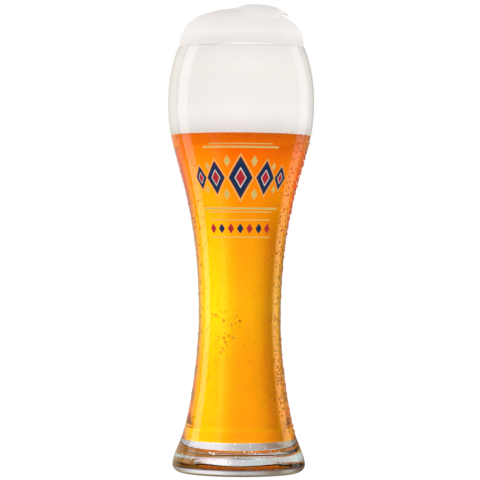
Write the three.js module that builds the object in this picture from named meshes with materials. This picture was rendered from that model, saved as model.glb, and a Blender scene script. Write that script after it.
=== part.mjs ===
// A tall waisted beer glass with a heavy foot, its pour of wheat beer and the foam head that crowns it.
// Millimetres, +Z up. The origin is the centre of the ring that the foot stands on.
import * as THREE from "three";

// Outside of the glass, from the table up
const footRadius = 38.8;
const footHeight = 4; // height of the foot's widest line
const footEdge = 4.3; // how far the rounded lower edge reaches in
const standingRingWidth = 11.8;
const puntDepth = 0.3; // slight hollow under the foot, inside the standing ring
const shoulderRadius = 33.8;
const shoulderRise = 15.7; // from the foot's widest line
const waistRadius = 23.9;
const waistRise = 68.8; // from the shoulder
const bellyRadius = 42.6;
const bellyRise = 125.2; // from the waist
const rimRadius = 37;
const rimRise = 33.2; // from the belly to where the rim rounds over

// Lean of the wall, in millimetres inward for each millimetre up
const shoulderLean = 0.34;
const rimLean = 0.38;

// Fullness of each curve: the share of its rise along which it keeps its end's direction
const footFullness = 0.31;
const shoulderFullnessBelow = 0.5;
const shoulderFullnessAbove = 0.29;
const waistFullnessBelow = 0.21;
const waistFullnessAbove = 0.61;
const bellyFullnessBelow = 0.26;
const bellyFullnessAbove = 0.24;
const rimFullness = 0.42;
const floorFullness = 0.72;
const cornerFullness = 0.67;

// Thickness of the glass
const wallAtShoulder = 2.4;
const wallAtRim = 2.2;
const floorThickness = 15.3;
const floorCorner = 6.5; // height over which the floor turns up into the wall

// Beer and foam
const headDepth = 51; // from the rim down to the beer
const contentClearance = 0.3; // gap that keeps glass, beer and foam apart
const crownHeight = 22; // foam above the rim
const crownSetback = 0.3; // how far the crown stays inside the rim's outer edge
const crownSwell = 0.8; // rise over which the crown swells out across the rim
const crownFullness = 2.5; // exponent of the crown's outline: 2 is an ellipse, more is boxier
const curlRise = 3.4; // last dollop of foam, on top of the crown
const curlOffset = 12; // towards +X from the axis
const curlLength = 16; // half of its length, along X
const curlWidth = 13; // half of its width, along Y
const curlFullness = 4; // exponent of its outline: more is flatter on top

// Fineness of the facets
const turnSteps = 40;
const stretchSteps = 8;
const arcSteps = 4;
const crownSteps = 10;

// Heights worked out from the rises
const shoulderHeight = footHeight + shoulderRise;
const waistHeight = shoulderHeight + waistRise;
const bellyHeight = waistHeight + bellyRise;
const rimSpring = bellyHeight + rimRise;
const rimRound = wallAtRim / 2;
const glassHeight = rimSpring + rimRound;
const beerLevel = glassHeight - headDepth;

const quarterTurn = Math.PI / 2;
const sameSpot = 1e-6; // profile points nearer than this are one point

const point = (radius, height) => new THREE.Vector2(radius, height);

// Curve from one profile point to another, leaving and arriving along the given tangents
function stretch(start, startTangent, endTangent, end) {
  const leave = start.clone().add(startTangent);
  const arrive = end.clone().sub(endTangent);
  return new THREE.CubicBezierCurve(start, leave, arrive, end).getPoints(stretchSteps);
}

// Arc of an ellipse about a profile point, between two angles in quarter turns
function arc(centre, radiusAcross, radiusUp, fromQuarter, toQuarter) {
  const angles = [fromQuarter * quarterTurn, toQuarter * quarterTurn];
  const clockwise = toQuarter < fromQuarter;
  const curve = new THREE.EllipseCurve(centre.x, centre.y, radiusAcross, radiusUp, ...angles, clockwise);
  return curve.getPoints(arcSteps);
}

// Stretches joined end to end, with each shared point kept once
function chain(...stretches) {
  const joined = stretches.flat();
  return joined.filter((here, index) => index === 0 || here.distanceTo(joined[index - 1]) > sameSpot);
}

// Radius of a rising profile at a height
function radiusAt(profile, height) {
  const next = profile.findIndex((here) => here.y >= height);
  const low = profile[next - 1];
  const high = profile[next];
  return THREE.MathUtils.mapLinear(height, low.y, high.y, low.x, high.x);
}

// Profile moved to its left by a gap: up from a floor, inward from a wall
function movedLeft(profile, gap) {
  return profile.map((here, index) => {
    const before = profile[Math.max(index - 1, 0)];
    const after = profile[Math.min(index + 1, profile.length - 1)];
    const along = after.clone().sub(before).normalize();
    return point(Math.max(here.x - gap * along.y, 0), here.y + gap * along.x);
  });
}

// Profile turned about the axis into a solid, standing along +Z
function turned(profile) {
  return new THREE.LatheGeometry(profile, turnSteps).rotateX(quarterTurn);
}

function piece(name, geometry, look) {
  const mesh = new THREE.Mesh(geometry, new THREE.MeshStandardMaterial(look));
  mesh.name = name;
  return mesh;
}

// Underside: a slight punt, the standing ring and the rounded edge up to the foot's widest line
const ringOuter = footRadius - footEdge;
const puntRadius = ringOuter - standingRingWidth;
const puntRun = point(puntRadius / 2, 0);
const puntFall = point(puntRadius / 2, -puntDepth);
const underside = chain(
  stretch(point(0, puntDepth), puntRun, puntFall, point(puntRadius, 0)),
  arc(point(ringOuter, footHeight), footEdge, footHeight, -1, 0),
);

// Outside wall: foot, shoulder, waist, belly and rim
const up = (rise, lean = 0) => point(-lean * rise, rise);
const foot = point(footRadius, footHeight);
const shoulder = point(shoulderRadius, shoulderHeight);
const waist = point(waistRadius, waistHeight);
const belly = point(bellyRadius, bellyHeight);
const rim = point(rimRadius, rimSpring);
const intoShoulder = up(shoulderFullnessBelow * shoulderRise, shoulderLean);
const outOfShoulder = up(shoulderFullnessAbove * waistRise, shoulderLean);
const intoRim = up(rimFullness * rimRise, rimLean);
const outside = chain(
  stretch(foot, up(footFullness * shoulderRise), intoShoulder, shoulder),
  stretch(shoulder, outOfShoulder, up(waistFullnessBelow * waistRise), waist),
  stretch(waist, up(waistFullnessAbove * bellyRise), up(bellyFullnessBelow * bellyRise), belly),
  stretch(belly, up(bellyFullnessAbove * rimRise), intoRim, rim),
);

// Inside wall: the outside less a wall that thins towards the rim
function insideRadius(outsideRadius, height) {
  const wallHere = THREE.MathUtils.mapLinear(height, shoulderHeight, rimSpring, wallAtShoulder, wallAtRim);
  return outsideRadius - wallHere;
}

// Cavity, from the middle of the floor round the corner, up the wall and over half of the rim
const cornerHeight = floorThickness + floorCorner;
const cornerRadius = insideRadius(radiusAt(outside, cornerHeight), cornerHeight);
const wall = outside
  .filter((here) => here.y > cornerHeight)
  .map((here) => point(insideRadius(here.x, here.y), here.y));
const floor = stretch(
  point(0, floorThickness),
  point(floorFullness * cornerRadius, 0),
  up(cornerFullness * floorCorner, shoulderLean),
  point(cornerRadius, cornerHeight),
);
const rimCentre = point(rimRadius - rimRound, rimSpring);
const cavity = chain(floor, wall, arc(rimCentre, rimRound, rimRound, 2, 1));
const rimOutside = arc(rimCentre, rimRound, rimRound, 0, 1);
const glassProfile = chain(underside, outside, rimOutside, cavity.toReversed());

// Beer and foam share the cavity, a clearance in from the glass and from each other
const contents = movedLeft(cavity, contentClearance);
const beerProfile = [
  ...contents.filter((here) => here.y < beerLevel),
  point(radiusAt(contents, beerLevel), beerLevel),
  point(0, beerLevel),
];

// Crown: swells out over the rim, then closes to the axis on a boxy ellipse
const foamBottom = beerLevel + contentClearance;
const crownBase = glassHeight + contentClearance + crownSwell;
const crownRadius = rimRadius - crownSetback;
const crown = Array.from({ length: crownSteps + 1 }, (unused, step) => {
  const angle = quarterTurn * (step / crownSteps);
  const across = step === crownSteps ? 0 : Math.cos(angle) ** (2 / crownFullness);
  const above = Math.sin(angle) ** (2 / crownFullness);
  return point(crownRadius * across, crownBase + (crownHeight - crownSwell) * above);
});
const foamProfile = [
  point(0, foamBottom),
  point(radiusAt(contents, foamBottom), foamBottom),
  ...contents.filter((here) => here.y > foamBottom),
  ...crown,
];

// The last dollop lifts the top of the crown on one side
function liftCurl(geometry) {
  const place = geometry.attributes.position;
  for (let index = 0; index < place.count; index += 1) {
    const above = place.getZ(index) - crownBase;
    const across = Math.hypot((place.getX(index) - curlOffset) / curlLength, place.getY(index) / curlWidth);
    if (above > 0 && across < 1) {
      place.setZ(index, place.getZ(index) + curlRise * (1 - across ** curlFullness));
    }
  }
  return geometry;
}

const beerGlass = new THREE.Group();
beerGlass.add(
  piece("glass_body", turned(glassProfile), {
    color: 0xeef1ee,
    roughness: 0.05,
    metalness: 0,
    transparent: true,
    opacity: 0.35,
  }),
  piece("beer", turned(beerProfile), { color: 0xf2a10c, roughness: 0.1, metalness: 0 }),
  piece("foam_head", liftCurl(turned(foamProfile)), { color: 0xf1ede8, roughness: 0.85, metalness: 0 }),
);

export default beerGlass;
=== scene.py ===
import math
import random

import bmesh
import bpy
from mathutils import Matrix, Vector, noise


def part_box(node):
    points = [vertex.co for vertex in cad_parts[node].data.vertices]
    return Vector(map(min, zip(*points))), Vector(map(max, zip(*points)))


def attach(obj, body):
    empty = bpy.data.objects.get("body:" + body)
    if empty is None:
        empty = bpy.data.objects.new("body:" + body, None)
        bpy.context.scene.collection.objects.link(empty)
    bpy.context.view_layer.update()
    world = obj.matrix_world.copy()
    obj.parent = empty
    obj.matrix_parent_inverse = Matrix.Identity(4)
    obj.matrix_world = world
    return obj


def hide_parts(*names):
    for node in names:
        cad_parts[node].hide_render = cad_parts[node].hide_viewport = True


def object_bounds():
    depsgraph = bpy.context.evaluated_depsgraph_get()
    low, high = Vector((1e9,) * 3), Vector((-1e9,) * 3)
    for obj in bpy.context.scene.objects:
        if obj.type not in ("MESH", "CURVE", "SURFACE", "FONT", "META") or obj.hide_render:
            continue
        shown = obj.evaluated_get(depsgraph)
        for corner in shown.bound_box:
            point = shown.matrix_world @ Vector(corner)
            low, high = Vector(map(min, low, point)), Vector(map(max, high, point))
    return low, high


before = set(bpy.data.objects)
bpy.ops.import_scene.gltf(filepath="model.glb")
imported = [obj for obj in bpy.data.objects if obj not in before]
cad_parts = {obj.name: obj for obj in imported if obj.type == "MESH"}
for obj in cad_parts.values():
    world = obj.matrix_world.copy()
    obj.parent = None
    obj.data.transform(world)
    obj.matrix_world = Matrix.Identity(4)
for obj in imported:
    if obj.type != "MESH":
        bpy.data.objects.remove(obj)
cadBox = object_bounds()  # the CAD box, before any piece is added
print("frame loaded:", ", ".join(sorted(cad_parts)))

mm = 0.001
hair = 1e-7  # points nearer than this are one point
nearlyLevel = 0.9  # upward share of a face's normal, from which it counts as level
scene = bpy.context.scene
scene.view_settings.view_transform = "Standard"
# Light runs round inside the thick foot many times before it gets out
scene.cycles.max_bounces = 32
scene.cycles.transmission_bounces = 32
scene.cycles.glossy_bounces = 16
scene.cycles.transparent_max_bounces = 16


# sRGB hex to the linear values that shaders take
def linear(hexColour):
    channels = [int(hexColour[place:place + 2], 16) / 255 for place in (1, 3, 5)]
    return [c / 12.92 if c <= 0.04045 else ((c + 0.055) / 1.055) ** 2.4 for c in channels] + [1.0]


# Adds a node: settings are its own properties, inputs are values or sockets to link from,
# and stops are the places and linear colours of a ramp
def addNode(tree, kind, settings=None, inputs=None, stops=()):
    node = tree.nodes.new(kind)
    for name, value in (settings or {}).items():
        setattr(node, name, value)
    for name, value in (inputs or {}).items():
        if isinstance(value, bpy.types.NodeSocket):
            tree.links.new(value, node.inputs[name])
        else:
            node.inputs[name].default_value = value
    if stops:
        elements = node.color_ramp.elements
        while len(elements) < len(stops):
            elements.new(0.5)
        for element, (position, colour) in zip(elements, stops):
            element.position = position
            element.color = colour
    return node


def newTree(owner):
    owner.use_nodes = True
    owner.node_tree.nodes.clear()
    return owner.node_tree


# Colour by height on the piece, or along another axis, from stops in mm
def addAxisRamp(tree, where, stops, axis="Z"):
    lowest, highest = stops[0][0], stops[-1][0]
    split = addNode(tree, "ShaderNodeSeparateXYZ", inputs={0: where.outputs["Object"]})
    share = addNode(tree, "ShaderNodeMapRange", inputs={
        "Value": split.outputs[axis], "From Min": lowest * mm, "From Max": highest * mm})
    return addNode(tree, "ShaderNodeValToRGB", inputs={"Fac": share.outputs[0]}, stops=[
        ((place - lowest) / (highest - lowest), linear(colour)) for place, colour in stops])


# Lets light through to what is behind, where the surface would otherwise throw a solid shadow
def finishClear(tree, surface, shadowTint, volume=None):
    path = addNode(tree, "ShaderNodeLightPath")
    clear = addNode(tree, "ShaderNodeBsdfTransparent", inputs={"Color": shadowTint})
    mix = addNode(tree, "ShaderNodeMixShader", inputs={
        0: path.outputs["Is Shadow Ray"], 1: surface.outputs[0], 2: clear.outputs[0]})
    inputs = {"Surface": mix.outputs[0]}
    if volume:
        inputs["Volume"] = volume.outputs[0]
    addNode(tree, "ShaderNodeOutputMaterial", inputs=inputs)


# Profiles are lists of (radius, height) in metres

def curve(start, leave, arrive, end, steps):
    points = []
    for step in range(steps + 1):
        t = step / steps
        s = 1 - t
        points.append(start * s ** 3 + leave * 3 * s * s * t + arrive * 3 * s * t * t + end * t ** 3)
    return points


def joined(*stretches):
    points = []
    for stretch in stretches:
        for point in stretch:
            if not points or (point - points[-1]).length > hair:
                points.append(point)
    return points


# Profile moved square to itself, to its left: up from a floor, inward from a wall that is drawn upward
def movedLeft(profile, distance):
    moved = []
    for index, point in enumerate(profile):
        along = profile[min(index + 1, len(profile) - 1)] - profile[max(index - 1, 0)]
        along.normalize()
        step = distance(point.y) if callable(distance) else distance
        moved.append(Vector((max(point.x - step * along.y, 0), point.y + step * along.x)))
    return moved


def radiusAt(profile, height):
    for low, high in zip(profile, profile[1:]):
        if low.y <= height <= high.y and high.y > low.y:
            return low.x + (high.x - low.x) * (height - low.y) / (high.y - low.y)
    return 0.0


# Profile with a point of its own at a height, so that a ring of edges runs there
def splitAt(profile, height):
    below = [point for point in profile if point.y < height]
    above = [point for point in profile if point.y > height]
    return below + [Vector((radiusAt(profile, height), height))] + above


# Profile turned about Z into a closed mesh, its faces pointing to the right of the profile
def turned(profile, turnSteps):
    mesh = bmesh.new()
    angles = [math.tau * step / turnSteps for step in range(turnSteps)]
    rings = []
    for point in profile:
        if point.x < hair:
            rings.append([mesh.verts.new((0, 0, point.y))] * turnSteps)
            continue
        rings.append([mesh.verts.new((point.x * math.cos(angle), point.x * math.sin(angle), point.y))
                      for angle in angles])
    bridge(mesh, rings)
    return mesh


# Faces between rings of vertices that follow each other; a ring of one repeated vertex is a point
def bridge(mesh, rings):
    for low, high in zip(rings, rings[1:]):
        for here in range(len(low)):
            after = (here + 1) % len(low)
            mesh.faces.new(dict.fromkeys((low[here], low[after], high[after], high[here])))


def looseObject(name, mesh):
    data = bpy.data.meshes.new(name)
    mesh.to_mesh(data)
    mesh.free()
    loose = bpy.data.objects.new(name, data)
    scene.collection.objects.link(loose)
    return loose


def addPiece(name, mesh, material, node=None, sharpDegrees=60):
    piece = looseObject(name, mesh)
    piece.data.shade_smooth()
    piece.data.set_sharp_from_angle(angle=math.radians(sharpDegrees))
    piece.data.materials.append(material)
    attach(piece, "root")
    if node:
        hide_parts(node)
    print("made", name, len(piece.data.polygons), "faces")
    return piece


# Camera: level with the middle of the glass, a long lens from a step and a half away

cameraView = {
    "distance": 1433 * mm,
    "eyeHeight": 135.4 * mm,
    "sideways": -0.1 * mm,
    "rollDegrees": 0.397,  # the glass leans a little to the right in the picture
    "lensMm": 183.75, "sensorMm": 36,
}


def addCamera(view):
    data = bpy.data.cameras.new("camera")
    data.lens = view["lensMm"]
    data.sensor_width = view["sensorMm"]
    camera = bpy.data.objects.new("camera", data)
    facing = Matrix.Rotation(math.radians(90), 4, "X")
    roll = Matrix.Rotation(math.radians(-view["rollDegrees"]), 4, "Y")
    place = Matrix.Translation((view["sideways"], -view["distance"], view["eyeHeight"]))
    camera.matrix_world = place @ roll @ facing
    scene.collection.objects.link(camera)
    scene.camera = camera


addCamera(cameraView)

# Studio: white all round, a brighter card behind the glass, and softboxes for the glass to mirror

studio = {
    "roomLevel": 0.69,  # light on matt surfaces
    "floorGlow": 0.92,  # share of the floor's white that shadows don't touch
    "floorMatt": 0.25,
    "floorHalf": 30, "floorDrop": 0.05 * mm,
    "paperColour": "#e6e6e6",  # of the floor, for the light that it throws back
    # Azimuth from straight behind the glass, to the right, with the light seen through the glass there
    "through": [(-180, "#c0c0c0"), (-110, "#a8a8a8"), (-62, "#7c7c7c"), (-54, "#808080"),
                (-45, "#b8b4a8"), (-34, "#b4b09c"), (-27, "#8c7c72"), (-20, "#a28f82"),
                (-14, "#b8b2ac"), (-8, "#c3c3c3"), (0, "#cacaca"), (5, "#d9d9d9"),
                (11, "#fafafa"), (22, "#ffffff"), (34, "#f4f4f4"), (44, "#d2d2d2"),
                (62, "#8f8f8f"), (110, "#a8a8a8"), (180, "#c0c0c0")],
    "throughStrength": 1.95,
    # Sine of the angle above the horizon, and the share of that light
    "throughRise": [(-1, 0.3), (-0.6, 0.3), (-0.36, 1), (0.15, 1), (0.45, 1.25), (1, 1.25)],
    # Overhead and behind it is never darker than this: its colour, and the sines between which it takes over
    "ceiling": ("#bccecb", 0.12, 0.3),
    "backFade": 0.2,  # how far behind, as a sine, the ceiling has its full share
    # Azimuth again, with what the glass mirrors there: white behind on the left, a dark room in front
    "mirrored": [(-180, "#1d1d1d"), (-146, "#1d1d1d"), (-138, "#8d8d8d"), (-130, "#8d8d8d"),
                 (-122, "#1d1d1d"), (-60, "#1d1d1d"), (-48, "#e0d8c2"), (-8, "#e0d8c2"),
                 (0, "#8c846c"), (40, "#7c745c"), (46, "#1d1d1d"), (180, "#1d1d1d")],
    "mirroredStrength": 0.85,
    # Large lamps to either side of the camera, so that the froth is lit evenly: place and power
    "keys": {"keyLeft": ((-1.12, -0.65, 0.3), 4.55), "keyRight": ((1.12, -0.65, 0.3), 4.2)},
    "keySize": 0.3, "keyAim": 0.7,  # aimed at this share of the part's height
    # Softboxes that show only as reflections: place, width and height, brightness, rise of the lower fade
    "softboxes": {
        "leftSoftbox": {"place": (-0.292, 0.05, 0.3275), "size": (0.13, 0.585), "level": 1.35, "fade": 0.03},
        "rightSoftbox": {"place": (0.367, 0.167, 0.24), "size": (0.18, 0.56), "level": 0.8, "fade": 0.02},
        "topSoftbox": {"place": (0.06, -0.13, 0.65), "size": (0.5, 0.12), "level": 25, "fade": 0.01},
        "rimSoftbox": {"place": (0.295, 0.328, 0.483), "size": (0.14, 0.06), "level": 8, "fade": 0.01},
    },
}


def azimuthStops(stops):
    return [((degrees + 180) / 360, linear(colour)) for degrees, colour in stops]


def addRoom(settings):
    world = bpy.data.worlds.new("studio")
    scene.world = world
    tree = newTree(world)
    path = addNode(tree, "ShaderNodeLightPath")
    direction = addNode(tree, "ShaderNodeTexCoord")
    split = addNode(tree, "ShaderNodeSeparateXYZ", inputs={0: direction.outputs["Generated"]})
    azimuth = addNode(tree, "ShaderNodeMath", {"operation": "ARCTAN2"},
                      {0: split.outputs["X"], 1: split.outputs["Y"]})
    place = addNode(tree, "ShaderNodeMapRange", inputs={
        "Value": azimuth.outputs[0], "From Min": -math.pi, "From Max": math.pi})
    through = addNode(tree, "ShaderNodeValToRGB", inputs={"Fac": place.outputs[0]},
                      stops=azimuthStops(settings["through"]))
    mirrored = addNode(tree, "ShaderNodeValToRGB", inputs={"Fac": place.outputs[0]},
                       stops=azimuthStops(settings["mirrored"]))
    rise = addNode(tree, "ShaderNodeMapRange", inputs={"Value": split.outputs["Z"], "From Min": -1})
    share = addNode(tree, "ShaderNodeValToRGB", inputs={"Fac": rise.outputs[0]}, stops=[
        ((sine + 1) / 2, [level] * 3 + [1]) for sine, level in settings["throughRise"]])
    strength = addNode(tree, "ShaderNodeMath", {"operation": "MULTIPLY"},
                       {0: share.outputs[0], 1: settings["throughStrength"]})
    ceiling, ceilingFrom, ceilingTo = settings["ceiling"]
    overhead = addNode(tree, "ShaderNodeMapRange", inputs={
        "Value": split.outputs["Z"], "From Min": ceilingFrom, "From Max": ceilingTo})
    backHalf = addNode(tree, "ShaderNodeMapRange", inputs={
        "Value": split.outputs["Y"], "From Max": settings["backFade"], "To Max": overhead.outputs[0]})
    behind = addNode(tree, "ShaderNodeMix", {"data_type": "RGBA", "blend_type": "LIGHTEN"},
                     {0: backHalf.outputs[0], 6: through.outputs[0], 7: linear(ceiling)})
    white = linear("#ffffff")
    shade = addNode(tree, "ShaderNodeBackground", inputs={
        "Color": white, "Strength": settings["roomLevel"]})
    for ray, colour, level in (
            ("Is Glossy Ray", mirrored.outputs[0], settings["mirroredStrength"]),
            ("Is Transmission Ray", behind.outputs[2], strength.outputs[0]),
            ("Is Camera Ray", white, 1)):
        seen = addNode(tree, "ShaderNodeBackground", inputs={"Color": colour, "Strength": level})
        shade = addNode(tree, "ShaderNodeMixShader", inputs={
            0: path.outputs[ray], 1: shade.outputs[0], 2: seen.outputs[0]})
    addNode(tree, "ShaderNodeOutputWorld", inputs={"Surface": shade.outputs[0]})


def addKeys(settings):
    for name, (place, power) in settings["keys"].items():
        key = bpy.data.lights.new(name, "AREA")
        key.shape = "DISK"
        key.size = settings["keySize"]
        key.energy = power
        lamp = bpy.data.objects.new(name, key)
        lamp.location = place
        aim = Vector((0, 0, cadBox[1].z * settings["keyAim"])) - lamp.location
        lamp.rotation_euler = aim.to_track_quat("-Z", "Y").to_euler()
        lamp.visible_glossy = False
        lamp.visible_transmission = False
        scene.collection.objects.link(lamp)


def stagePlane(name, halfWidth, halfHeight, material):
    data = bpy.data.meshes.new(name)
    corners = [(-1, -1), (1, -1), (1, 1), (-1, 1)]
    data.from_pydata([(x * halfWidth, y * halfHeight, 0) for x, y in corners], [], [(0, 1, 2, 3)])
    data.materials.append(material)
    plane = bpy.data.objects.new(name, data)
    scene.collection.objects.link(plane)
    return plane


# White sweep paper, matt: glows as white for the camera and keeps a soft shadow
def addFloor(settings):
    material = bpy.data.materials.new("whiteSweepPaper")
    tree = newTree(material)
    path = addNode(tree, "ShaderNodeLightPath")
    matt = addNode(tree, "ShaderNodeBsdfDiffuse", inputs={"Color": linear(settings["paperColour"])})
    pale = addNode(tree, "ShaderNodeBsdfDiffuse", inputs={"Color": [settings["floorMatt"]] * 3 + [1]})
    glow = addNode(tree, "ShaderNodeEmission", inputs={"Strength": settings["floorGlow"]})
    seen = addNode(tree, "ShaderNodeAddShader", inputs={0: pale.outputs[0], 1: glow.outputs[0]})
    bounced = addNode(tree, "ShaderNodeMixShader", inputs={
        0: path.outputs["Is Diffuse Ray"], 1: seen.outputs[0], 2: matt.outputs[0]})
    addNode(tree, "ShaderNodeOutputMaterial", inputs={"Surface": bounced.outputs[0]})
    floor = stagePlane("floor", settings["floorHalf"], settings["floorHalf"], material)
    floor.location.z = -settings["floorDrop"]
    floor.visible_transmission = False  # in the glass the white room shows below the horizon too
    floor.visible_glossy = False


# White diffuser cloth, lit from behind: an even white that fades towards its lower edge
def addSoftbox(name, box):
    material = bpy.data.materials.new(name + "Diffuser")
    tree = newTree(material)
    where = addNode(tree, "ShaderNodeTexCoord")
    split = addNode(tree, "ShaderNodeSeparateXYZ", inputs={0: where.outputs["Object"]})
    width, height = box["size"]
    rise = addNode(tree, "ShaderNodeMapRange", {"interpolation_type": "SMOOTHSTEP"}, {
        "Value": split.outputs["Y"], "From Min": -height / 2, "From Max": -height / 2 + box["fade"],
        "To Max": box["level"]})
    glow = addNode(tree, "ShaderNodeEmission", inputs={"Strength": rise.outputs[0]})
    addNode(tree, "ShaderNodeOutputMaterial", inputs={"Surface": glow.outputs[0]})
    plane = stagePlane(name, width / 2, height / 2, material)
    place = Vector(box["place"])
    aim = Vector((0, 0, min(place.z, cadBox[1].z))) - place
    plane.location = place
    plane.rotation_euler = aim.to_track_quat("Z", "Y").to_euler()
    plane.visible_camera = False
    plane.visible_diffuse = False
    plane.visible_transmission = False
    plane.visible_shadow = False


addRoom(studio)
addKeys(studio)
addFloor(studio)
for softboxName, softbox in studio["softboxes"].items():
    addSoftbox(softboxName, softbox)
print("studio lit")

# Glass body

glassIor = 1.52
beerIor = 1.34  # a little over water
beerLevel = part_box("beer")[1].z

glassShape = {
    "footRadius": 38.8 * mm, "footHeight": 3.98 * mm, "footEdge": 4.3 * mm,
    "edgeBoxiness": 1.7,  # exponent of the lower edge's outline: 2 is an ellipse, less is nearer a bevel
    "ringWidth": 12 * mm, "puntDepth": 0.32 * mm,
    "shoulderRadius": 33.87 * mm, "shoulderRise": 15.54 * mm,
    "waistRadius": 23.9 * mm, "waistRise": 69 * mm,
    "bellyRadius": 42.6 * mm, "bellyRise": 125.2 * mm,
    "rimRadius": 37 * mm,
    "shoulderLean": 0.39, "rimLean": 0.38,  # inward for each unit up
    # Share of each stretch's rise along which it keeps its end's direction
    "footFullness": 0.28, "shoulderFullness": (0.5, 0.24), "waistFullness": (0.2, 0.61),
    "bellyFullness": (0.26, 0.24), "rimFullness": 0.42, "floorFullness": 0.9, "cornerFullness": 0.66,
    "wallAtShoulder": 2.64 * mm, "wallAtRim": 2.2 * mm,
    "floorThickness": 18.6 * mm, "floorCorner": 0.12 * mm,
    "stretchSteps": 24, "turnSteps": 192, "roundSteps": 12,
    # Tint by height in mm, which is painted shade: greyer in the foot, where it is many times as thick; its
    # flat underside is clear
    "tintsWithPaintedShade": [(0.03, "#ffffff"), (0.08, "#807d83"), (5, "#807d83"), (7.5, "#ffffff")],
    "rippleMm": 14, "rippleDepth": 0.05 * mm, "rippleStrength": 0.15,
    # The floor, where haze has settled: its tint, and the colour and strength of a painted glow that stands
    # in for light the haze scatters; faces count as cavity from just under it
    "hazeTint": "#9cb5b9", "paintedGlowColour": "#ffb434", "paintedHazeGlow": 0.2, "cavityFrom": 0.99,
    # The rubbed lower edge of the foot, up to this height
    "scuffHeight": 1.2 * mm, "scuffColour": "#b4a69e", "scuffRoughness": 0.6,
    # Painted amber glow under the ring, seen from inside: its colour, and where it sets in across and along
    "ringGlowColour": "#b87c34", "ringGlowAcross": (10 * mm, -10 * mm), "ringGlowAlong": (-14 * mm, -4 * mm),
    "ringFlat": 0.01 * mm,  # faces under this height lie on the table
    # Its streaks: width, draw along X, noise from no glow to full glow, and noise with strength from dim to
    # bright
    "streakMm": 7, "streakDraw": 0.25, "streakFrom": (0.37, 0.51),
    "streakLight": ((0.42, 0.3), (0.66, 1.3)),
}


def glassProfiles(shape):
    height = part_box("glass_body")[1].z
    steps = shape["stretchSteps"]

    def up(rise, lean=0):
        return Vector((-lean * rise, rise))

    # Outside wall: foot, shoulder, waist, belly and rim
    rimRound = shape["wallAtRim"] / 2
    lean = math.atan(shape["rimLean"])
    foot = Vector((shape["footRadius"], shape["footHeight"]))
    shoulder = Vector((shape["shoulderRadius"], foot.y + shape["shoulderRise"]))
    waist = Vector((shape["waistRadius"], shoulder.y + shape["waistRise"]))
    belly = Vector((shape["bellyRadius"], waist.y + shape["bellyRise"]))
    rim = Vector((shape["rimRadius"], height - rimRound * (math.cos(lean) - math.sin(lean))))
    rimRise = rim.y - belly.y
    outOfFoot = up(shape["footFullness"] * shape["shoulderRise"])
    intoShoulder = up(shape["shoulderFullness"][0] * shape["shoulderRise"], shape["shoulderLean"])
    outOfShoulder = up(shape["shoulderFullness"][1] * shape["waistRise"], shape["shoulderLean"])
    intoWaist = up(shape["waistFullness"][0] * shape["waistRise"])
    outOfWaist = up(shape["waistFullness"][1] * shape["bellyRise"])
    intoBelly = up(shape["bellyFullness"][0] * shape["bellyRise"])
    outOfBelly = up(shape["bellyFullness"][1] * rimRise)
    intoRim = up(shape["rimFullness"] * rimRise, shape["rimLean"])
    outside = joined(
        curve(foot, foot + outOfFoot, shoulder - intoShoulder, shoulder, steps),
        curve(shoulder, shoulder + outOfShoulder, waist - intoWaist, waist, steps),
        curve(waist, waist + outOfWaist, belly - intoBelly, belly, steps),
        curve(belly, belly + outOfBelly, rim - intoRim, rim, steps),
    )

    # Wall, square to the outside and thinner towards the rim
    def wallAt(z):
        share = (z - shoulder.y) / (rim.y - shoulder.y)
        return shape["wallAtShoulder"] + (shape["wallAtRim"] - shape["wallAtShoulder"]) * max(share, 0)

    # Cavity: the floor, the corner where it turns up, and the wall
    inside = movedLeft(outside, wallAt)
    cornerHeight = shape["floorThickness"] + shape["floorCorner"]
    corner = Vector((radiusAt(inside, cornerHeight), cornerHeight))
    middle = Vector((0, shape["floorThickness"]))
    alongFloor = Vector((shape["floorFullness"] * corner.x, 0))
    intoCorner = up(shape["cornerFullness"] * shape["floorCorner"], shape["shoulderLean"])
    floor = curve(middle, middle + alongFloor, corner - intoCorner, corner, steps)
    wall = splitAt([point for point in inside if point.y > cornerHeight], beerLevel)
    cavity = joined(floor, wall)

    # Fire-polished rim: half a round from the outside over to the inside
    centre = (outside[-1] + cavity[-1]) / 2
    out = outside[-1] - centre
    top = Vector((-out.y, out.x))
    turns = [step / shape["roundSteps"] for step in range(shape["roundSteps"] + 1)]
    rounding = [centre + out * math.cos(math.pi * turn) + top * math.sin(math.pi * turn)
                for turn in turns]

    # Underside: punt, standing ring and the rounded lower edge
    ringOuter = shape["footRadius"] - shape["footEdge"]
    puntRadius = ringOuter - shape["ringWidth"]
    depth = shape["puntDepth"]
    slope = Vector((puntRadius / 2, depth))
    punt = curve(Vector((0, depth)), slope, slope, Vector((puntRadius, 0)), steps)
    power = 2 / shape["edgeBoxiness"]
    edge = []
    for turn in turns:
        out = math.sin(math.pi / 2 * turn) ** power
        down = max(math.cos(math.pi / 2 * turn), 0) ** power
        edge.append(Vector((ringOuter + shape["footEdge"] * out, foot.y * (1 - down))))
    whole = joined(punt, edge, outside, rounding, cavity[::-1])
    return {"whole": whole, "outside": joined(edge, outside), "cavity": cavity}


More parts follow.
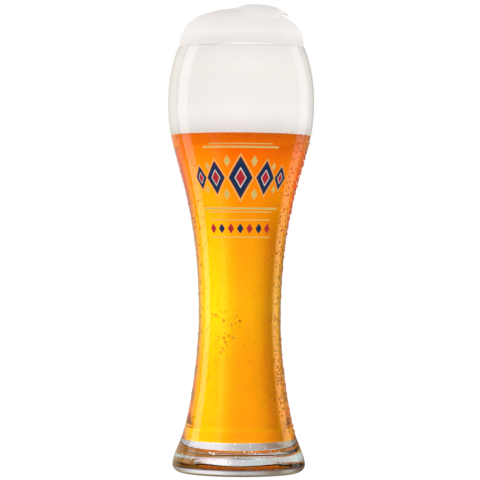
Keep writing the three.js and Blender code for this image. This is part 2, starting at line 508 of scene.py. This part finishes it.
# Soda-lime glass, blown in a mould and fire polished: clear, with slow ripples that bend what is behind
def sodaLimeGlass(name, shape, ior, tint, glow=0):
    material = bpy.data.materials.new(name)
    tree = newTree(material)
    where = addNode(tree, "ShaderNodeTexCoord")
    ripple = addNode(tree, "ShaderNodeTexNoise", inputs={
        "Vector": where.outputs["Object"], "Scale": 1 / (shape["rippleMm"] * mm), "Detail": 1.0})
    bump = addNode(tree, "ShaderNodeBump", inputs={
        "Height": ripple.outputs["Fac"], "Strength": shape["rippleStrength"],
        "Distance": shape["rippleDepth"]})
    # Painted light in this glass: a tint by height is painted shade, and an emission is a painted glow
    surface = addNode(tree, "ShaderNodeBsdfPrincipled", inputs={
        "Roughness": 0.0, "IOR": ior, "Transmission Weight": 1.0, "Normal": bump.outputs[0],
        "Emission Color": linear(shape["paintedGlowColour"]), "Emission Strength": glow})
    if isinstance(tint, str):
        surface.inputs["Base Color"].default_value = linear(tint)
    else:
        tree.links.new(addAxisRamp(tree, where, tint).outputs[0], surface.inputs["Base Color"])
    finishClear(tree, surface, linear("#ffffff"))
    return material


# Soda-lime glass, scuffed where the edge of the foot rubs on tables: a matt grey line, clear from inside
def scuffedGlass(shape):
    material = bpy.data.materials.new("sodaLimeGlassScuffed")
    tree = newTree(material)
    # The clear glass seen from inside takes the foot's painted shade
    footPaintedShade = shape["tintsWithPaintedShade"][1][1]
    side = addNode(tree, "ShaderNodeNewGeometry")
    matt = addNode(tree, "ShaderNodeBsdfPrincipled", inputs={
        "Base Color": linear(shape["scuffColour"]), "Roughness": shape["scuffRoughness"], "IOR": glassIor})
    clear = addNode(tree, "ShaderNodeBsdfPrincipled", inputs={
        "Base Color": linear(footPaintedShade), "Roughness": 0.0, "IOR": glassIor, "Transmission Weight": 1.0})
    surface = addNode(tree, "ShaderNodeMixShader", inputs={
        0: side.outputs["Backfacing"], 1: matt.outputs[0], 2: clear.outputs[0]})
    finishClear(tree, surface, linear("#ffffff"))
    return material


# Soda-lime glass where the foot stands: from inside, a painted amber glow in streaks stands in for light that
# has come down through the beer, and elsewhere the face mirrors
def ringGlowGlass(shape):
    material = bpy.data.materials.new("sodaLimeGlassRingPaintedGlow")
    tree = newTree(material)
    where = addNode(tree, "ShaderNodeTexCoord")
    place = addNode(tree, "ShaderNodeSeparateXYZ", inputs={"Vector": where.outputs["Object"]})
    drawn = addNode(tree, "ShaderNodeMapping", inputs={
        "Vector": where.outputs["Object"], "Scale": (shape["streakDraw"], 1, 1)})
    streaks = addNode(tree, "ShaderNodeTexNoise", inputs={
        "Vector": drawn.outputs[0], "Scale": 1 / (shape["streakMm"] * mm), "Detail": 2.0})
    # From no glow to the full painted glow, by the streak noise and across and along
    unlitNoise, litNoise = shape["streakFrom"]
    share = addNode(tree, "ShaderNodeMapRange", inputs={
        "Value": streaks.outputs["Fac"], "From Min": unlitNoise, "From Max": litNoise})
    for axis, (dry, wet) in (("X", shape["ringGlowAcross"]), ("Y", shape["ringGlowAlong"])):
        share = addNode(tree, "ShaderNodeMapRange", inputs={
            "Value": place.outputs[axis], "From Min": dry, "From Max": wet, "To Max": share.outputs[0]})
    side = addNode(tree, "ShaderNodeNewGeometry")
    inside = addNode(tree, "ShaderNodeMath", {"operation": "MULTIPLY"},
                     {0: share.outputs[0], 1: side.outputs["Backfacing"]})
    clear = addNode(tree, "ShaderNodeBsdfPrincipled", inputs={
        "Base Color": linear("#ffffff"), "Roughness": 0.0, "IOR": glassIor, "Transmission Weight": 1.0})
    (dimNoise, dim), (brightNoise, bright) = shape["streakLight"]
    light = addNode(tree, "ShaderNodeMapRange", inputs={
        "Value": streaks.outputs["Fac"], "From Min": dimNoise, "From Max": brightNoise,
        "To Min": dim, "To Max": bright})
    amber = addNode(tree, "ShaderNodeEmission", inputs={
        "Color": linear(shape["ringGlowColour"]), "Strength": light.outputs[0]})
    surface = addNode(tree, "ShaderNodeMixShader", inputs={
        0: inside.outputs[0], 1: clear.outputs[0], 2: amber.outputs[0]})
    finishClear(tree, surface, linear("#ffffff"))
    return material


profiles = glassProfiles(glassShape)
polished = sodaLimeGlass("sodaLimeGlassFirePolished", glassShape, glassIor, glassShape["tintsWithPaintedShade"])
glass = addPiece("drinkingGlass", turned(profiles["whole"], glassShape["turnSteps"]), polished,
                 "glass_body")
# Where beer wets the glass, only the step between the two bends and mirrors light
wetted = sodaLimeGlass("sodaLimeGlassWetted", glassShape, glassIor / beerIor, "#ffffff")
# The haze that has settled on the floor hides the bending there; a painted amber glow there stands in for the
# light that it scatters
underHazePaintedGlow = sodaLimeGlass("sodaLimeGlassUnderHazePaintedGlow", glassShape, 1.0,
                          glassShape["hazeTint"], glassShape["paintedHazeGlow"])
scuffed = scuffedGlass(glassShape)
# Under the ring, painted amber streaks of light
ringPaintedGlow = ringGlowGlass(glassShape)
for finish in (wetted, underHazePaintedGlow, scuffed, ringPaintedGlow):
    glass.data.materials.append(finish)
finishes = list(glass.data.materials)
cornerHeight = glassShape["floorThickness"] + glassShape["floorCorner"]
cavityFrom = glassShape["floorThickness"] * glassShape["cavityFrom"]
ringOuter = glassShape["footRadius"] - glassShape["footEdge"]
ringInner = ringOuter - glassShape["ringWidth"]
for face in glass.data.polygons:
    finish = polished
    height = face.center.z
    fromAxis = face.center.xy.length
    inward = face.normal.xy.dot(face.center.xy) < 0 or face.normal.z > nearlyLevel
    if height < glassShape["scuffHeight"] and fromAxis > ringOuter:
        finish = scuffed
    if height < glassShape["ringFlat"] and fromAxis > ringInner:
        finish = ringPaintedGlow
    if cavityFrom < height < beerLevel and inward:
        finish = underHazePaintedGlow if height < cornerHeight else wetted
    face.material_index = finishes.index(finish)

# Beer

beerShape = {
    "offGlass": 0.03 * mm,  # the step in refraction is on the glass's face, so this gap doesn't show
    # Tint by height in mm, the beer's colour with painted shade: deepest under the foam, a little deeper
    # again low down, pale on the settled haze
    "tintsWithPaintedShade": [(18.6, "#fff8c0"), (20.6, "#ffd824"), (30, "#ffd624"), (62, "#ffcd24"), (98, "#ffde28"),
              (140, "#ffcc28"), (172, "#ffb224"), (186, "#fb991c"), (197, "#e88014")],
    # What each metre takes out of red, green and blue is 1 less these, times the density
    "spared": (0.98, 0.86, 0.0, 1), "density": 100,
    # Painted light: the beer's volume glows, standing in for light that the yeast haze scatters
    "hazePaintedGlow": 1.6, "paintedGlowColour": "#ffcc40",  # light that the yeast haze sends on, for each metre
    "shadowTint": "#ffe9b0",
}


# Wheat beer, poured and a little cloudy: gold where light comes through, deep orange where it is thick;
# on the settled haze at the bottom it mirrors itself, seen from inside
def wheatBeer(name, shape, settled=False):
    material = bpy.data.materials.new(name)
    tree = newTree(material)
    where = addNode(tree, "ShaderNodeTexCoord")
    # The tint carries painted shade, deepest under the foam
    tint = addAxisRamp(tree, where, shape["tintsWithPaintedShade"])
    surface = addNode(tree, "ShaderNodeBsdfPrincipled", inputs={
        "Base Color": tint.outputs[0], "Roughness": 0.0, "IOR": 1.0, "Transmission Weight": 1.0})
    if settled:
        side = addNode(tree, "ShaderNodeNewGeometry")
        mirror = addNode(tree, "ShaderNodeBsdfGlossy", inputs={
            "Color": linear("#ffffff"), "Roughness": 0.0})
        surface = addNode(tree, "ShaderNodeMixShader", inputs={
            0: side.outputs["Backfacing"], 1: surface.outputs[0], 2: mirror.outputs[0]})
    depth = addNode(tree, "ShaderNodeVolumeAbsorption", inputs={
        "Color": shape["spared"], "Density": shape["density"]})
    # Painted light: a glow in the volume
    hazePaintedGlow = addNode(tree, "ShaderNodeEmission", inputs={
        "Color": linear(shape["paintedGlowColour"]), "Strength": shape["hazePaintedGlow"]})
    volume = addNode(tree, "ShaderNodeAddShader", inputs={0: depth.outputs[0], 1: hazePaintedGlow.outputs[0]})
    finishClear(tree, surface, linear(shape["shadowTint"]), volume)
    return material


def beerProfile(shape, cavity):
    gap = shape["offGlass"]
    side = [point for point in movedLeft(cavity, gap) if point.y < beerLevel - gap]
    edge = Vector((radiusAt(cavity, beerLevel) - gap, beerLevel))
    return side + [edge, Vector((0, beerLevel))]


beer = addPiece("beerPour", turned(beerProfile(beerShape, profiles["cavity"]), glassShape["turnSteps"]),
                wheatBeer("wheatBeerPoured", beerShape), "beer")
beer.data.materials.append(wheatBeer("wheatBeerOnHaze", beerShape, settled=True))
for face in beer.data.polygons:
    if face.center.z < cornerHeight:
        face.material_index = 1

# Foam head: a filled cavity, a crown over the rim and a last dollop with a tip that stands off

foamShape = {
    "intoGlass": 0.1 * mm,
    "intoBeer": 0.2 * mm,
    "crownRadius": 36.35 * mm,
    "crownHeight": 22 * mm,
    "crownSpring": -0.55 * mm,  # from the top of the rim, so that its rounding shows
    "crownBoxiness": 2.5,  # exponent of the outline: 2 is an ellipse, more is boxier
    "crownSteps": 40, "turnSteps": 144,
    # The dollop along its length, in mm: across, top and underside over the crown, front and back edge, drape
    "dollop": [(-14, -0.4, -1.5, -9, -3, 1), (-8, 0.0, -2, -16, 1, 1), (-3, 0.6, -2.5, -23, 4, 1),
               (2, 2.3, -3, -27, 7, 1), (9, 3.0, -3, -29, 9, 1), (16, 3.4, -3, -27, 8, 1),
               (20, 3.4, -2.5, -22, 5, 0.9), (23.2, 3.1, 0.5, -14, 2, 0.6),
               (25.4, 2.7, 1.2, -9, 0, 0.4), (27.8, 2.0, 1.5, -5, -2, 0.3)],
    "dollopSteps": 60, "dollopRound": 48,
    "lump": 15 * mm, "lumpDepth": 0.45 * mm, "lumpFade": 4 * mm,  # the lumps set in over this rise
    # Bubbles drawn coarser than the real froth's, which are too fine to show
    "bubbleMm": 0.9, "bubbleDepth": 0.2 * mm, "bubbleStrength": 0.08, "roughness": 0.7,
    # Tint by height in mm: painted shade, a shade deeper along the rim, and painted light, paler on top
    "tintsWithPaintedShade": [(236, "#f7f3ef"), (244, "#f2eeec"), (248, "#f1ecea"), (251, "#f2eeeb"), (255, "#fbf6f3")],
    # Painted light: a glow by height in mm, standing in for light that comes through the froth, more of it
    # towards the beer
    "glow": [(197, "#262728"), (204, "#4b5055"), (209, "#4a545d"), (216, "#2e3034"),
             (223, "#21242a"), (227, "#000000")],
    # The same painted glow on the underside: strength at its left and its right, and colour from front to
    # back, in mm
    "underGlow": (0.84, 0.29), "underHalf": 40 * mm,
    "underTints": [(-38, "#cf7c08"), (0, "#e6ae38"), (38, "#fff6d4")],
    # Inward corners sharper than this, from this height over the rim, are rubbed smooth:
    # how widely and how often, short of the tip and at it
    "creaseTurn": 0.12, "creaseFrom": 2 * mm, "tipFrom": 19 * mm, "creaseRubs": ((5, 20), (1, 4)),
}


# Beer froth, fine and creamy: matt off-white with a bubble grain that is just felt
def beerFroth(name, shape, underside=False):
    material = bpy.data.materials.new(name)
    tree = newTree(material)
    where = addNode(tree, "ShaderNodeTexCoord")
    cells = addNode(tree, "ShaderNodeTexVoronoi", inputs={
        "Vector": where.outputs["Object"], "Scale": 1 / (shape["bubbleMm"] * mm)})
    bump = addNode(tree, "ShaderNodeBump", inputs={
        "Height": cells.outputs["Distance"], "Strength": shape["bubbleStrength"],
        "Distance": shape["bubbleDepth"]})
    # The tint by height is painted shade along the rim and painted light on top
    tint = addAxisRamp(tree, where, shape["tintsWithPaintedShade"])
    if underside:
        glow = addAxisRamp(tree, where, shape["underTints"], "Y")
    else:
        glow = addAxisRamp(tree, where, shape["glow"])
    # Its emission is a painted glow
    surface = addNode(tree, "ShaderNodeBsdfPrincipled", inputs={
        "Base Color": tint.outputs[0], "Roughness": shape["roughness"], "IOR": beerIor,
        "Specular IOR Level": 0.0, "Normal": bump.outputs[0],
        "Emission Color": glow.outputs[0], "Emission Strength": 1.0})
    if underside:
        left, right = shape["underGlow"]
        place = addNode(tree, "ShaderNodeSeparateXYZ", inputs={"Vector": where.outputs["Object"]})
        across = addNode(tree, "ShaderNodeMapRange", inputs={
            "Value": place.outputs["X"], "From Min": -shape["underHalf"], "From Max": shape["underHalf"],
            "To Min": left, "To Max": right})
        tree.links.new(across.outputs[0], surface.inputs["Emission Strength"])
    addNode(tree, "ShaderNodeOutputMaterial", inputs={"Surface": surface.outputs[0]})
    return material


# Height of the crown over the rim, at a distance from the axis
def crownAt(shape, radius):
    share = min(radius / shape["crownRadius"], 1)
    power = shape["crownBoxiness"]
    rise = shape["crownHeight"] - shape["crownSpring"]
    return shape["crownSpring"] + rise * (1 - share ** power) ** (1 / power)


def foamProfile(shape, cavity, rimTop):
    wet = movedLeft(cavity, -shape["intoGlass"])
    bottom = beerLevel - shape["intoBeer"]
    side = [point for point in wet if point.y > bottom]
    dome = []
    for step in range(shape["crownSteps"]):
        angle = math.pi / 2 * step / shape["crownSteps"]
        across = shape["crownRadius"] * math.cos(angle) ** (2 / shape["crownBoxiness"])
        dome.append(Vector((across, rimTop + crownAt(shape, across))))
    dome.append(Vector((0, rimTop + crownAt(shape, 0))))
    return [Vector((0, bottom)), Vector((radiusAt(wet, bottom), bottom))] + side + dome


# Point on a smooth line through rows of numbers, at a share of its length
def alongRows(rows, share):
    place = share * (len(rows) - 1)
    index = min(int(place), len(rows) - 2)
    t = place - index
    before, here, after, beyond = (
        rows[min(max(index + step, 0), len(rows) - 1)] for step in (-1, 0, 1, 2))
    return [h + t * (a - b) / 2 + t * t * (b - 2.5 * h + 2 * a - y / 2)
            + t ** 3 * (1.5 * (h - a) + (y - b) / 2)
            for b, h, a, y in zip(before, here, after, beyond)]


def dollopMesh(shape, rimTop):
    mesh = bmesh.new()
    rings = []
    for step in range(shape["dollopSteps"] + 1):
        row = alongRows(shape["dollop"], step / shape["dollopSteps"])
        across, top, under, front, back = (size * mm for size in row[:5])
        drape = row[5]
        middle = (front + back) / 2
        crownMiddle = crownAt(shape, math.hypot(across, middle))
        ring = []
        for turn in range(shape["dollopRound"]):
            angle = math.tau * turn / shape["dollopRound"]
            y = middle - (back - front) / 2 * math.cos(angle)
            crownHere = crownMiddle + drape * (crownAt(shape, math.hypot(across, y)) - crownMiddle)
            off = (top + under) / 2 + (top - under) / 2 * math.sin(angle)
            ring.append(mesh.verts.new((across, y, rimTop + crownHere + off)))
        rings.append(ring)
    bridge(mesh, rings)
    mesh.faces.new(rings[0][::-1])
    mesh.faces.new(rings[-1])
    bmesh.ops.recalc_face_normals(mesh, faces=mesh.faces)
    return mesh


# Crown and dollop become one skin, lumpy by hand, with the creases between them rubbed soft
def foamMesh(shape, cavity):
    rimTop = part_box("glass_body")[1].z
    head = looseObject("head", turned(foamProfile(shape, cavity, rimTop), shape["turnSteps"]))
    dollop = looseObject("dollop", dollopMesh(shape, rimTop))
    union = head.modifiers.new("union", "BOOLEAN")
    union.operation = "UNION"
    union.solver = "EXACT"
    union.object = dollop
    made = head.evaluated_get(bpy.context.evaluated_depsgraph_get()).to_mesh()
    mesh = bmesh.new()
    mesh.from_mesh(made)
    bpy.data.objects.remove(head)
    bpy.data.objects.remove(dollop)
    bmesh.ops.triangulate(mesh, faces=[face for face in mesh.faces if len(face.verts) > 4])
    crownLine = rimTop + shape["creaseFrom"]
    creases = set()
    for edge in mesh.edges:
        if edge.is_manifold and edge.calc_face_angle_signed() < -shape["creaseTurn"]:
            creases.update(vert for vert in edge.verts if vert.co.z > crownLine)
    inTip = {vert for vert in creases if vert.co.x > shape["tipFrom"]}
    for rubbed, (spreads, rounds) in zip((creases - inTip, inTip), shape["creaseRubs"]):
        for spread in range(spreads):
            rubbed.update([edge.other_vert(vert) for vert in rubbed for edge in vert.link_edges])
        for smoothing in range(rounds):
            bmesh.ops.smooth_vert(mesh, verts=list(rubbed), factor=0.5,
                                  use_axis_x=True, use_axis_y=True, use_axis_z=True)
    for vert in mesh.verts:
        fade = min(max((vert.co.z - rimTop - shape["crownSpring"]) / shape["lumpFade"], 0), 1)
        swell = noise.noise(vert.co / shape["lump"]) * shape["lumpDepth"] * fade
        vert.co += vert.normal * swell
    return mesh


foam = addPiece("foamHead", foamMesh(foamShape, profiles["cavity"]),
                beerFroth("beerFrothCreamy", foamShape), "foam_head")
# Painted light on its underside, inside the beer: a glow standing in for light that has come down through the
# froth
foam.data.materials.append(beerFroth("beerFrothUnderside", foamShape, underside=True))
for face in foam.data.polygons:
    if face.center.z < beerLevel and face.normal.z < -nearlyLevel:
        face.material_index = 1

# Where things lie on the outside of the glass: turn is in radians from the front, to the right
outsideWall = profiles["outside"]
leanOver = 0.5 * mm  # the wall's lean is taken from this far below to this far above


def onWall(turn, height, lift):
    radius = radiusAt(outsideWall, height)
    rise = radiusAt(outsideWall, height + leanOver) - radiusAt(outsideWall, height - leanOver)
    lean = rise / (2 * leanOver)
    normal = Vector((math.sin(turn), -math.cos(turn), -lean)).normalized()
    return Vector((radius * math.sin(turn), -radius * math.cos(turn), height)) + normal * lift


# Printed frieze: lozenges between rules, widest in the middle

friezeShape = {
    "inks": {"Navy": "#173058", "Red": "#c01f30", "Gold": "#e3bf68", "Cream": "#f4efe4"},
    "film": 0.06 * mm,  # stands proud of the glass
    "sunk": 0.03 * mm,  # bites into it, so that no air shows between
    "middle": 171 * mm,  # height of the row of lozenges
    "lozenges": [(-24.6, 0.56), (-14.6, 0.8), (0, 1.0), (14.6, 0.8), (24.6, 0.56)],  # across in mm, scale
    "lozengeHalf": (8 * mm, 14 * mm),
    # Rings of ink in a lozenge: from which share of its size to which, and in how many rows of faces
    "rings": {"Red": (0, 0.36, 3), "Cream": (0.36, 0.43, 1), "Navy": (0.43, 0.86, 4),
              "Gold": (0.91, 1.0, 1)},
    "beads": [(-20, 0.7), (-7.9, 1.0), (7.9, 1.0), (20, 0.7)],
    "beadHalf": (2.0 * mm, 3.4 * mm), "beadLift": 9.4 * mm,
    # Lift, half length and half width in mm
    "rules": [(17.5, 23, 0.6), (-17.5, 23, 0.6), (19.4, 19, 0.3), (-19.4, 19, 0.3)],
    "lowerRow": 142 * mm, "lowerStep": 5.4 * mm, "lowerCount": 7, "lowerHalf": (1.9 * mm, 3.0 * mm),
    "lowerRules": [(5.0, 18, 0.3), (-5.0, 18, 0.3)],
    "sidePoints": 10, "solidRows": 2, "ruleSteps": 48,
    # Drawn coarser than the printing screen, whose threads are too fine to show
    "screenMm": 0.35, "screenDepth": 0.02 * mm, "screenStrength": 0.1,
}


# Ring of points round a lozenge, at a share of its size: across and height from its middle
def lozengeRing(half, share, pointsPerSide):
    corners = [(half[0], 0), (0, half[1]), (-half[0], 0), (0, -half[1])]
    ring = []
    for start, end in zip(corners, corners[1:] + corners[:1]):
        for step in range(pointsPerSide):
            t = step / pointsPerSide
            ring.append([share * (s + (e - s) * t) for s, e in zip(start, end)])
    return ring


# A closed film of enamel between two shares of a lozenge; from 0 it fills the lozenge
def addLozenge(mesh, shape, across, height, half, fromShare, toShare, rows):
    radius = radiusAt(outsideWall, height)
    shares = [fromShare + (toShare - fromShare) * row / rows for row in range(rows + 1)]
    sides = []
    for lift in (shape["film"], -shape["sunk"]):
        rings = []
        for share in shares:
            if share == 0:
                middle = mesh.verts.new(onWall(across / radius, height, lift))
                rings.append([middle] * 4 * shape["sidePoints"])
                continue
            rings.append([mesh.verts.new(onWall((across + a) / radius, height + h, lift))
                          for a, h in lozengeRing(half, share, shape["sidePoints"])])
        sides.append(rings)
    top, under = sides
    closing = [] if fromShare == 0 else [top[0]]
    bridge(mesh, closing + under + top[::-1])


# A closed strip of enamel along the glass
def addRule(mesh, shape, height, halfLength, halfWidth):
    radius = radiusAt(outsideWall, height)
    steps = shape["ruleSteps"]
    corners = ((-1, shape["film"]), (1, shape["film"]), (1, -shape["sunk"]), (-1, -shape["sunk"]))
    rings = []
    for step in range(steps + 1):
        across = halfLength * (2 * step / steps - 1)
        rings.append([mesh.verts.new(onWall(across / radius, height + side * halfWidth, lift))
                      for side, lift in corners])
    bridge(mesh, rings)
    mesh.faces.new(rings[0])
    mesh.faces.new(rings[-1][::-1])


# Glass enamel, screen printed and fired: opaque, smooth, with a soft gloss
def firedEnamel(name, shape, colour):
    material = bpy.data.materials.new(name)
    tree = newTree(material)
    where = addNode(tree, "ShaderNodeTexCoord")
    grain = addNode(tree, "ShaderNodeTexNoise", inputs={
        "Vector": where.outputs["Object"], "Scale": 1 / (shape["screenMm"] * mm), "Detail": 2.0})
    bump = addNode(tree, "ShaderNodeBump", inputs={
        "Height": grain.outputs["Fac"], "Strength": shape["screenStrength"],
        "Distance": shape["screenDepth"]})
    surface = addNode(tree, "ShaderNodeBsdfPrincipled", inputs={
        "Base Color": linear(colour), "Roughness": 0.32, "IOR": 1.5, "Normal": bump.outputs[0]})
    addNode(tree, "ShaderNodeOutputMaterial", inputs={"Surface": surface.outputs[0]})
    return material


def friezeMeshes(shape):
    meshes = {ink: bmesh.new() for ink in shape["inks"]}
    middle = shape["middle"]
    row = shape["lowerRow"]
    solid = (0, 1, shape["solidRows"])
    for across, scale in shape["lozenges"]:
        half = [side * scale for side in shape["lozengeHalf"]]
        for ink, ring in shape["rings"].items():
            addLozenge(meshes[ink], shape, across * mm, middle, half, *ring)
    for across, scale in shape["beads"]:
        half = [side * scale for side in shape["beadHalf"]]
        for side in (-1, 1):
            height = middle + side * shape["beadLift"] * scale
            addLozenge(meshes["Gold"], shape, across * mm, height, half, *solid)
    for place in range(shape["lowerCount"]):
        across = (place - (shape["lowerCount"] - 1) / 2) * shape["lowerStep"]
        ink = "Navy" if place % 2 else "Red"
        addLozenge(meshes[ink], shape, across, row, shape["lowerHalf"], *solid)
    for height, rules in ((middle, shape["rules"]), (row, shape["lowerRules"])):
        for lift, halfLength, halfWidth in rules:
            addRule(meshes["Gold"], shape, height + lift * mm, halfLength * mm, halfWidth * mm)
    for mesh in meshes.values():
        bmesh.ops.recalc_face_normals(mesh, faces=mesh.faces)
    return meshes


for inkName, inkMesh in friezeMeshes(friezeShape).items():
    enamel = firedEnamel("enamelFired" + inkName, friezeShape, friezeShape["inks"][inkName])
    addPiece("frieze" + inkName, inkMesh, enamel)

# Condensation: fine beads all round, larger drops that have run together, most on the right

dewShape = {
    "seed": 11,
    "sunk": 0.04 * mm,
    # Tint of each water, which is painted shade: it darkens the clear drops against the beer; the kinds below
    # count them in this order
    "waters": {"waterDewBeaded": "#f2d4a0", "waterDewBeadedTall": "#d6d690",
               "waterDewBeadedClear": "#ffffff"},
    "ior": 1.33,
    "domeDegrees": (0, 24, 48, 70),  # rings of the dome, up from the wall
    "bareTurn": 0.8, "bareHeights": (136, 192),  # the frieze is kept clear
    "spacing": 1.15,  # drops nearer than this many times their sizes are left out
    "cell": 3 * mm,  # of the grid in which near drops are looked up
    # Heights and radius in mm, bulge for each unit of radius, height for each unit of width,
    # turn as middle and spread, points round it, and which water
    "kinds": [
        {"count": 160, "heights": (140, 197), "radius": (0.38, 0.62), "bulge": 0.9, "stretch": (1.1, 1.8),
         "turn": (1.15, 0.38), "round": 12, "water": 0},
        {"count": 120, "heights": (32, 140), "radius": (0.38, 0.66), "bulge": 0.9, "stretch": (1.2, 2.0),
         "turn": (1.15, 0.38), "round": 12, "water": 0},
        {"count": 170, "heights": (23, 60), "radius": (0.35, 0.6), "bulge": 1.0, "stretch": (1.0, 1.5),
         "turn": (1.35, 0.2), "round": 12, "water": 0},
        {"count": 16, "heights": (70, 92), "radius": (0.75, 1.05), "bulge": 1.4, "stretch": (1.0, 1.2),
         "turn": (-0.3, 0.2), "round": 16, "water": 1},
        {"count": 44, "heights": (64, 100), "radius": (0.42, 0.7), "bulge": 1.4, "stretch": (1.0, 1.2),
         "turn": (-0.25, 0.28), "round": 12, "water": 1},
        {"count": 400, "heights": (32, 197), "radius": (0.3, 0.48), "bulge": 1.0, "stretch": (1.0, 1.4),
         "turn": (0.3, 0.9), "round": 10, "water": 1},
        {"count": 2500, "heights": (28, 197), "radius": (0.2, 0.3), "bulge": 1.0, "stretch": (1.0, 1.15),
         "turn": (0.15, 0.95), "round": 8, "water": 1},
        {"count": 80, "heights": (7, 26), "radius": (0.3, 0.5), "bulge": 1.0, "stretch": (1.0, 1.3),
         "turn": (0.0, 0.7), "round": 8, "water": 2},
    ],
}


# Water, condensed: clear domed drops that catch a point of light, tinted with painted shade, the tall ones
# dark against the beer
def waterDew(name, shape, tint):
    material = bpy.data.materials.new(name)
    tree = newTree(material)
    surface = addNode(tree, "ShaderNodeBsdfPrincipled", inputs={
        "Base Color": linear(tint), "Roughness": 0.0, "IOR": shape["ior"], "Transmission Weight": 1.0})
    finishClear(tree, surface, linear("#ffffff"))
    return material


# A closed drop: its foot sunk in the glass, a dome and its top
def addDrop(mesh, shape, kind, turn, height, radius, stretch):
    wallRadius = radiusAt(outsideWall, height)
    bulge = kind["bulge"] * radius
    steps = kind["round"]
    levels = [(1.0, -shape["sunk"])]
    for degrees in shape["domeDegrees"]:
        levels.append((math.cos(math.radians(degrees)), bulge * math.sin(math.radians(degrees))))
    rings = []
    for out, lift in levels:
        ring = []
        for step in range(steps):
            angle = math.tau * step / steps
            across = out * radius * math.cos(angle)
            along = out * radius * stretch * math.sin(angle)
            ring.append(mesh.verts.new(onWall(turn + across / wallRadius, height + along, lift)))
        rings.append(ring)
    rings.append([mesh.verts.new(onWall(turn, height, bulge))] * steps)
    bridge(mesh, rings)
    mesh.faces.new(rings[0][::-1])


def dewMesh(shape):
    chance = random.Random(shape["seed"])
    mesh = bmesh.new()
    taken = {}
    cell = shape["cell"]
    bareFrom, bareTo = (height * mm for height in shape["bareHeights"])
    around = [(across, along) for across in (-1, 0, 1) for along in (-1, 0, 1)]
    for kind in shape["kinds"]:
        before = len(mesh.faces)
        for number in range(kind["count"]):
            height = chance.uniform(*kind["heights"]) * mm
            turn = chance.gauss(*kind["turn"])
            radius = chance.uniform(*kind["radius"]) * mm
            stretch = chance.uniform(*kind["stretch"])
            if abs(turn) < shape["bareTurn"] and bareFrom < height < bareTo:
                continue
            wallRadius = radiusAt(outsideWall, height)
            spot = (turn % math.tau) * wallRadius
            reach = radius * stretch
            column, row = int(spot / cell), int(height / cell)
            near = [drop for i, j in around for drop in taken.get((column + i, row + j), ())]
            if any(math.hypot(spot - s, height - h) < shape["spacing"] * (reach + r) for s, h, r in near):
                continue
            taken.setdefault((column, row), []).append((spot, height, reach))
            addDrop(mesh, shape, kind, turn, height, radius, stretch)
        mesh.faces.ensure_lookup_table()
        for face in mesh.faces[before:]:
            face.material_index = kind["water"]
    return mesh


waters = [waterDew(name, dewShape, tint) for name, tint in dewShape["waters"].items()]
dew = addPiece("condensation", dewMesh(dewShape), waters[0], sharpDegrees=80)
for water in waters[1:]:
    dew.data.materials.append(water)
